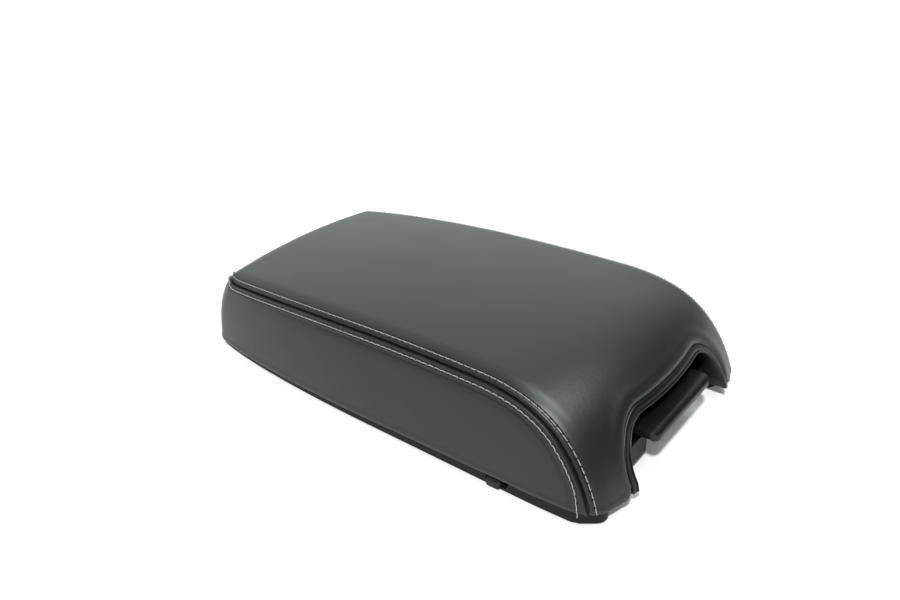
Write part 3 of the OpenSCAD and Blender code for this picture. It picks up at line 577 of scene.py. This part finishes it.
relief -= (drawn_in * bell(from_seam, row + drawn_below, drawn_w)
           * smooth((sections.t[:, None] - drawn_from_t) / drawn_fade_t))
relief[:, 0] -= turned_under
side, up = raised(side, relief, 0, 2)
panel("cover_side_panel_left", side[:, ::-1], up[:, ::-1], hole_shade[:, ::-1], hide.made, "cover_side_left")
panel("cover_side_panel_right", side * far_side, up * far_side, hole_shade, hide.made, "cover_side_right")

# Stitches: two rows of bonded thread on each shoulder, one through each panel's turned
# edge. Each stitch lies from hole to hole and dives into the cover at both ends.
thread_r, thread_rise, thread_dive, thread_share, thread_sunk = 0.28, 0.45, 0.9, 0.76, 0.2
thread = Look("bonded_thread")
twist = thread.node("ShaderNodeTexWave", {"wave_type": "BANDS"}, Vector=thread.place(turn=(0, 0.5, 0.6)),
                    Scale=260.0, Distortion=1.0)
fluff = thread.mottle(900)
thread.wear(Base_Color=thread.blend(fluff, (0.34, 0.325, 0.30), (0.48, 0.46, 0.43)), Roughness=0.62,
            Sheen_Weight=0.2, Normal=thread.bumps(twist, 0.5, 0.0001, thread.bumps(fluff, 0.3, 0.0001)))

sewing = bpy.data.node_groups.new("stitches_on_marks", "GeometryNodeTree")
sewing.interface.new_socket("Geometry", in_out="OUTPUT", socket_type="NodeSocketGeometry")
for label, kind in {"Geometry": "Geometry", "Stitch Length": "Float", "Thread Radius": "Float",
                    "Rise": "Float", "Dive": "Float", "Thread": "Material"}.items():
    sewing.interface.new_socket(label, in_out="INPUT", socket_type="NodeSocket" + kind)
given = sewing.nodes.new("NodeGroupInput").outputs


def sewn(kind, settings=None, *values, **named):
    """A node of the sewing tree, with its inputs in order or by name. Gives its output."""
    made = sewing.nodes.new(kind)
    for key, value in (settings or {}).items():
        setattr(made, key, value)
    by_name = {key.replace("_", " "): value for key, value in named.items()}
    for key, value in [*enumerate(values), *by_name.items()]:
        if isinstance(value, bpy.types.NodeSocket):
            sewing.links.new(value, made.inputs[key])
        else:
            made.inputs[key].default_value = value
    return made.outputs[0]


times = {"operation": "MULTIPLY"}
back = sewn("ShaderNodeMath", times, given["Stitch Length"], -0.5)
ahead = sewn("ShaderNodeMath", times, given["Stitch Length"], 0.5)
below = sewn("ShaderNodeMath", times, given["Dive"], -1.0)
arch = sewn("GeometryNodeCurvePrimitiveBezierSegment", {"mode": "POSITION"}, Resolution=8,
            Start=sewn("ShaderNodeCombineXYZ", X=back, Z=below),
            Start_Handle=sewn("ShaderNodeCombineXYZ", X=back, Z=given["Rise"]),
            End_Handle=sewn("ShaderNodeCombineXYZ", X=ahead, Z=given["Rise"]),
            End=sewn("ShaderNodeCombineXYZ", X=ahead, Z=below))
round_of = sewn("GeometryNodeCurvePrimitiveCircle", {"mode": "RADIUS"}, Resolution=6,
                Radius=given["Thread Radius"])
stitch = sewn("GeometryNodeCurveToMesh", Curve=arch, Profile_Curve=round_of, Fill_Caps=True)
way = sewn("GeometryNodeInputNamedAttribute", {"data_type": "FLOAT_VECTOR"}, Name="along")
outwards = sewn("GeometryNodeInputNamedAttribute", {"data_type": "FLOAT_VECTOR"}, Name="out")
turn = sewn("FunctionNodeAxesToRotation", {"primary_axis": "X", "secondary_axis": "Z"},
            Primary_Axis=way, Secondary_Axis=outwards)
laid = sewn("GeometryNodeInstanceOnPoints", Points=given["Geometry"], Instance=stitch, Rotation=turn)
real = sewn("GeometryNodeRealizeInstances", Geometry=laid)
dyed = sewn("GeometryNodeSetMaterial", Geometry=sewn("GeometryNodeSetShadeSmooth", Geometry=real),
            Material=given["Thread"])
sewing.links.new(dyed, sewing.nodes.new("NodeGroupOutput").inputs[0])


def stitch_row(side, outer):
    """Middle, direction and outward normal of every stitch in a row."""
    runs = sewn_from + pitch * (np.arange(stitches) + 0.5)

    def on_cover(at, aside=0.0):
        here = Stations(np.interp(at, seam_run, fine.t))
        row = side_row(at)[:, None] if outer else -seam_row
        return here.across(here.seam_u() + row + aside)[:, 0] * [1, side, 1]

    middle = (on_cover(runs - 0.3 * pitch) + on_cover(runs + 0.3 * pitch)) / 2
    along_row = on_cover(runs + 0.4 * pitch) - on_cover(runs - 0.4 * pitch)
    over = on_cover(runs, 0.4) - on_cover(runs, -0.4)
    out = np.cross(along_row, over) * side
    unit = [v / np.linalg.norm(v, axis=1, keepdims=True) for v in (along_row, out)]
    return middle + unit[1] * thread_sunk, unit[0], -unit[1]


rows = [stitch_row(side_of, outer) for side_of in (-1, 1) for outer in (False, True)]
middles, ways, outs = (np.concatenate([row[k] for row in rows]) for k in range(3))
marks_mesh = bpy.data.meshes.new("stitch_marks")
marks_mesh.from_pydata([tuple(p / 1000) for p in middles], [], [])
for label, vectors in (("along", ways), ("out", outs)):
    layer = marks_mesh.attributes.new(label, "FLOAT_VECTOR", "POINT")
    layer.data.foreach_set("vector", vectors.astype(np.float32).ravel())
seed = bpy.data.objects.new("stitch_marks", marks_mesh)
bpy.context.scene.collection.objects.link(seed)
growth = seed.modifiers.new("growth", "NODES")
growth.node_group = sewing
sizes = {"Stitch Length": thread_share * pitch / 1000, "Thread Radius": thread_r / 1000,
         "Rise": thread_rise / 1000, "Dive": thread_dive / 1000, "Thread": thread.made}
for item in sewing.interface.items_tree:
    if item.in_out == "INPUT" and item.name in sizes:
        growth[item.identifier] = sizes[item.name]
seed.update_tag()
ready = seed.evaluated_get(bpy.context.evaluated_depsgraph_get())
stitches_mesh = bpy.data.meshes.new_from_object(ready)
stitches_mesh.name = "seam_stitches"
bpy.data.objects.remove(seed)
seam_stitches = bpy.data.objects.new("seam_stitches", stitches_mesh)
bpy.context.scene.collection.objects.link(seam_stitches)
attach(seam_stitches, "lid")

# Bezel round the notch: one satin plastic moulding, set in against the cover's rolled edge,
# with a rounded face, a thin lip at its inner edge and a short tunnel behind.
bezel_in, bezel_foot, tunnel_end, tunnel_wall = 4.6, 9.6, front - 31, 2.2
tunnel_straight, tunnel_edge_l, tunnel_edge_h, tunnel_start_depth = 8, 0.6, 0.5, 4.5
leg_proud, leg_proud_below, leg_proud_l = 1.3, 26, 18
front_slope = Stations(np.linspace(2.5, 4, 1600))


def front_x(y, z):
    """Where the front face of the cover stands at a place in the front view."""
    down = front_slope.drop * (abs(y) / front_slope.wide) ** 2
    return float(np.interp(-z, -(front_slope.z - front_slope.nz * down),
                           front_slope.x - front_slope.nx * down))


def front_out(y, z):
    e = 0.6
    n = np.array([1.0, (front_x(y - e, z) - front_x(y + e, z)) / (2 * e),
                  (front_x(y, z - e) - front_x(y, z + e)) / (2 * e)])
    return n / np.linalg.norm(n)


def on_outline(turn, run, d):
    """Place in the front view at the distance d inside the notch's outline, on its +y half.

    The corner is at run 0, a leg runs down to 1 and the top runs to -1 in the middle."""
    r = notch_r - d
    arc_y, arc_z = notch_half - notch_r, notch_h - notch_r
    y, z = arc_y + r * math.cos(turn), arc_z + r * math.sin(turn)
    if run > 0:
        fall = (z - bezel_foot) * run
        y, z = y + fall * math.tan(notch_lean), z - fall
    return y + min(run, 0) * arc_y, z


# Outline of the face: distance in from the notch's edge, and height over the cover's face
face = [(0.15, -5.0), (0.15, -3.0), (0.3, -2.0), (0.5, -1.45), (0.8, -1.15), (1.2, -1.05), (2.0, -1.1),
        (3.0, -1.25), (3.5, -1.5), (3.68, -1.75), (3.8, -1.6), (3.95, -1.0), (4.15, -0.8), (4.4, -0.85),
        (4.58, -1.1), (4.6, -2.0)]


def bezel_ring(turn, run):
    ring = []
    for d, h in face:
        y, z = on_outline(turn, run, d)
        proud = h + leg_proud * float(smooth((leg_proud_below - z) / leg_proud_l))
        ring.append(np.array([front_x(y, z), y, z]) + front_out(y, z) * proud)
    y, z = on_outline(turn, run, bezel_in)
    ring += [np.array([tunnel_end + x, y, z]) for x in (tunnel_straight, tunnel_edge_l)]
    y, z = on_outline(turn, run, bezel_in - tunnel_edge_h)
    ring.append(np.array([tunnel_end, y, z]))
    y, z = on_outline(turn, run, bezel_in - tunnel_wall)
    tunnel_start = front_x(y, z) - tunnel_start_depth
    ring += [np.array([x, y, z]) for x in (tunnel_end, tunnel_end + tunnel_straight, tunnel_start)]
    return ring


def closed_sweep(name, rings, look):
    """A tube of rings. Three smaller rings round off each end."""
    ends = []
    for ring, inner in ((rings[0], rings[1]), (rings[-1], rings[-2])):
        middle = sum(ring) / len(ring)
        out = middle - sum(inner) / len(inner)
        out /= np.linalg.norm(out)
        ends.append([[middle + (p - middle) * (1 - s) + out * h for p in ring]
                     for s, h in ((0.03, 0.25), (0.10, 0.45), (0.22, 0.55))])
    rings = ends[0][::-1] + rings + ends[1]
    n = len(rings[0])
    faces = [[i * n + k, i * n + (k + 1) % n, (i + 1) * n + (k + 1) % n, (i + 1) * n + k]
             for i in range(len(rings) - 1) for k in range(n)]
    faces += [list(range(n))[::-1], [(len(rings) - 1) * n + k for k in range(n)]]
    piece = mesh_piece(name, [p for ring in rings for p in ring], faces, look)
    shape = bmesh.new()
    shape.from_mesh(piece.data)
    bmesh.ops.recalc_face_normals(shape, faces=shape.faces)
    shape.to_mesh(piece.data)
    shape.free()
    return piece


satin = Look("satin_moulded_plastic")
flow = satin.mottle(60)
satin.wear(Base_Color=satin.blend(flow, (0.0035, 0.0030, 0.0028), (0.006, 0.0052, 0.0048)),
           Specular_IOR_Level=0.4, Roughness=0.34 + 0.08 * flow,
           Normal=satin.bumps(satin.mottle(1500, 2), 0.12, 0.00008))
leg = [(-notch_lean, run) for run in np.linspace(1, 0, 12)[:-1]]
corner = [(a, 0.0) for a in np.linspace(-notch_lean, math.pi / 2, 26)]
top_edge = [(math.pi / 2, -k) for k in np.linspace(0, 1, 12)[1:]]
half_rings = [bezel_ring(*place) for place in leg + corner + top_edge]
far_rings = [[p * far_side for p in ring] for ring in half_rings[-2::-1]]
bezel = closed_sweep("notch_bezel", half_rings + far_rings, satin.made)
bezel.data.set_sharp_from_angle(angle=math.radians(50))
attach(bezel, "lid")
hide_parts("latch_bezel")

# Release paddle: a moulded plate with a rolled front edge, turning on the latch pin. The
# mould leaves its edges slightly round.
paddle_edge_r, paddle_edge_angle = 0.8, math.radians(38)
gloss = Look("paddle_plastic")
haze = gloss.mottle(45)
gloss.wear(Base_Color=gloss.blend(haze, (0.005, 0.0054, 0.0052), (0.008, 0.0084, 0.008)),
           Specular_IOR_Level=0.35, Roughness=0.30 + 0.08 * haze,
           Normal=gloss.bumps(gloss.mottle(1300, 2), 0.10, 0.00008))
shape = bmesh.new()
shape.from_mesh(nodes["latch_paddle"].data)
bmesh.ops.remove_doubles(shape, verts=shape.verts, dist=1e-6)
bmesh.ops.dissolve_limit(shape, angle_limit=math.radians(0.5), verts=shape.verts, edges=shape.edges)
paddle_mesh = bpy.data.meshes.new("release_paddle")
shape.to_mesh(paddle_mesh)
shape.free()
paddle_mesh.materials.clear()
paddle_mesh.materials.append(gloss.made)
paddle_mesh.shade_smooth()
paddle_mesh.set_sharp_from_angle(angle=paddle_edge_angle)
paddle = bpy.data.objects.new("release_paddle", paddle_mesh)
bpy.context.scene.collection.objects.link(paddle)
soften = paddle.modifiers.new("eased_edges", "BEVEL")
soften.width, soften.segments = paddle_edge_r / 1000, 3
soften.limit_method, soften.angle_limit = "ANGLE", paddle_edge_angle
soften.harden_normals = True
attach(paddle, "latch")
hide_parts("latch_paddle")


# Moulded shell, closing panel and latch housing: black polypropylene with a fine spark
# grain from the mould. Screws hold the panel and the housing to the shell's bosses.
def dress(look, *names):
    for name in names:
        for slot in nodes[name].material_slots:
            slot.material = look.made


spark = Look("grained_polypropylene")
pits = spark.node("ShaderNodeTexVoronoi", {"feature": "F1"}, Vector=spark.place(), Scale=1100.0)
drift = spark.mottle(30)
spark.wear(Base_Color=spark.blend(drift, (0.006, 0.0061, 0.0063), (0.010, 0.0102, 0.0105)),
           Specular_IOR_Level=0.2, Roughness=0.52 + 0.10 * drift, Normal=spark.bumps(pits, 0.35, 0.00012))
dress(spark, "upper_shell", "inner_panel", "latch_housing")

# Foam between the cover and the shell: moulded open-cell polyurethane with a skin of small
# cells, a little darker where it has aged.
foam = Look("open_cell_foam")
cells = foam.node("ShaderNodeTexVoronoi", {"feature": "F1"}, Vector=foam.place(), Scale=900.0)
age = foam.mottle(25, 4)
foam.wear(Base_Color=foam.blend(age, (0.50, 0.46, 0.33), (0.60, 0.56, 0.43)), Roughness=0.95,
          Normal=foam.bumps(cells, 0.7, 0.0004))
dress(foam, "foam_pad")

# Hook, rivets and pins: zinc-plated steel, with the fine drawing marks of the wire and
# strip that they are made from.
zinc = Look("zinc_plated_steel")
drawn = zinc.mottle(300, 3, 0.6, zinc.place(size=(1, 0.08, 1)))
bloom = zinc.mottle(60)
zinc.wear(Base_Color=zinc.blend(bloom, (0.48, 0.49, 0.50), (0.62, 0.62, 0.61)), Metallic=1.0,
          Roughness=0.26 + 0.16 * drawn, Normal=zinc.bumps(drawn, 0.15, 0.0001))
dress(zinc, "latch_hook", "hook_rivets", "latch_pin", "hinge_pin")

# Hinge leaves: pressed galvanised sheet, with its faint spangle and rolling marks. One is
# screwed to the console and one to the lid.
leaf = Look("galvanised_sheet")
spangle = leaf.node("ShaderNodeTexVoronoi", {"feature": "F1"}, Vector=leaf.place(), Scale=160.0)
rolled = leaf.mottle(250, 3, 0.6, leaf.place(size=(0.06, 1, 1)))
leaf.wear(Base_Color=leaf.blend(spangle, (0.34, 0.35, 0.36), (0.50, 0.51, 0.52)), Metallic=1.0,
          Roughness=0.34 + 0.18 * rolled, Normal=leaf.bumps(rolled, 0.12, 0.0001))
dress(leaf, "hinge_base_leaf", "lid_hinge_leaf")

# Screws and the pin's clip: hardened steel with a black phosphate finish that is worn
# a little brighter in patches.
phosphate = Look("black_phosphate_steel")
rub = phosphate.mottle(180, 4)
phosphate.wear(Base_Color=phosphate.blend(rub, (0.022, 0.022, 0.024), (0.07, 0.07, 0.073)), Metallic=0.7,
               Roughness=0.38 + 0.2 * rub, Normal=phosphate.bumps(phosphate.mottle(900, 2), 0.2, 0.0001))
dress(phosphate, "panel_screws", "leaf_screws", "housing_screws", "pin_clip")

# Hinge bushes: turned nylon, slightly yellow, in the two knuckles of the lid's leaf, for
# the pin to turn in.
nylon = Look("natural_nylon")
milk = nylon.mottle(120, 2)
nylon.wear(Base_Color=nylon.blend(milk, (0.60, 0.57, 0.47), (0.68, 0.65, 0.56)),
           Roughness=0.38 + 0.1 * milk, Normal=nylon.bumps(nylon.mottle(700, 2), 0.1, 0.0001))
dress(nylon, "hinge_bushes")

# Bump stops: moulded black rubber with a dusty bloom. The front ones are feet in gaps of the
# closing panel's rim, the rear ones buttons in shallow seats.
rubber = Look("moulded_rubber")
dust = rubber.mottle(90, 4)
rubber.wear(Base_Color=rubber.blend(dust, (0.010, 0.010, 0.010), (0.026, 0.026, 0.026)),
            Roughness=0.72 + 0.12 * dust, Normal=rubber.bumps(rubber.mottle(1500, 3), 0.3, 0.00012))
dress(rubber, *[f"bump_stop_{end}_{hand}" for end in ("front", "rear") for hand in ("left", "right")])

# Return spring: music wire wound round the latch pin, one leg against the housing's back
# wall and one on the paddle.
wire_r, wire_sides, coil_r, coil_turns, steps_per_turn = 0.55, 10, 3.4, 5, 24
pin_x, pin_z, coil_start_y, coil_end_y = front - 43, 28.0, 13.5, 22.5
housing_wall_x, paddle_leg_l, paddle_leg_aside, paddle_seat_z = front - 67 + 3.3, 16, 0.6, 30.15
coil_steps = steps_per_turn * coil_turns
spring_path = [(housing_wall_x, coil_start_y, pin_z + coil_r)]
for k in range(coil_steps + 1):
    a = math.pi / 2 - 2 * math.pi * k / steps_per_turn
    spring_path.append((pin_x + coil_r * math.cos(a),
                        coil_start_y + (coil_end_y - coil_start_y) * k / coil_steps,
                        pin_z + coil_r * math.sin(a)))
spring_path.append((pin_x + paddle_leg_l, coil_end_y + paddle_leg_aside, paddle_seat_z + wire_r))
spring_path = np.array(spring_path)
heading = np.gradient(spring_path, axis=0)
heading /= np.linalg.norm(heading, axis=1, keepdims=True)
spring_rings = []
for at, way in zip(spring_path, heading):
    u = np.cross(way, [0, 1, 0])
    u /= np.linalg.norm(u)
    v = np.cross(way, u)
    spring_rings.append([at + wire_r * (u * math.cos(a) + v * math.sin(a))
                         for a in np.arange(wire_sides) * 2 * math.pi / wire_sides])
spring = closed_sweep("return_spring", spring_rings, zinc.made)
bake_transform(spring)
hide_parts("latch_spring")
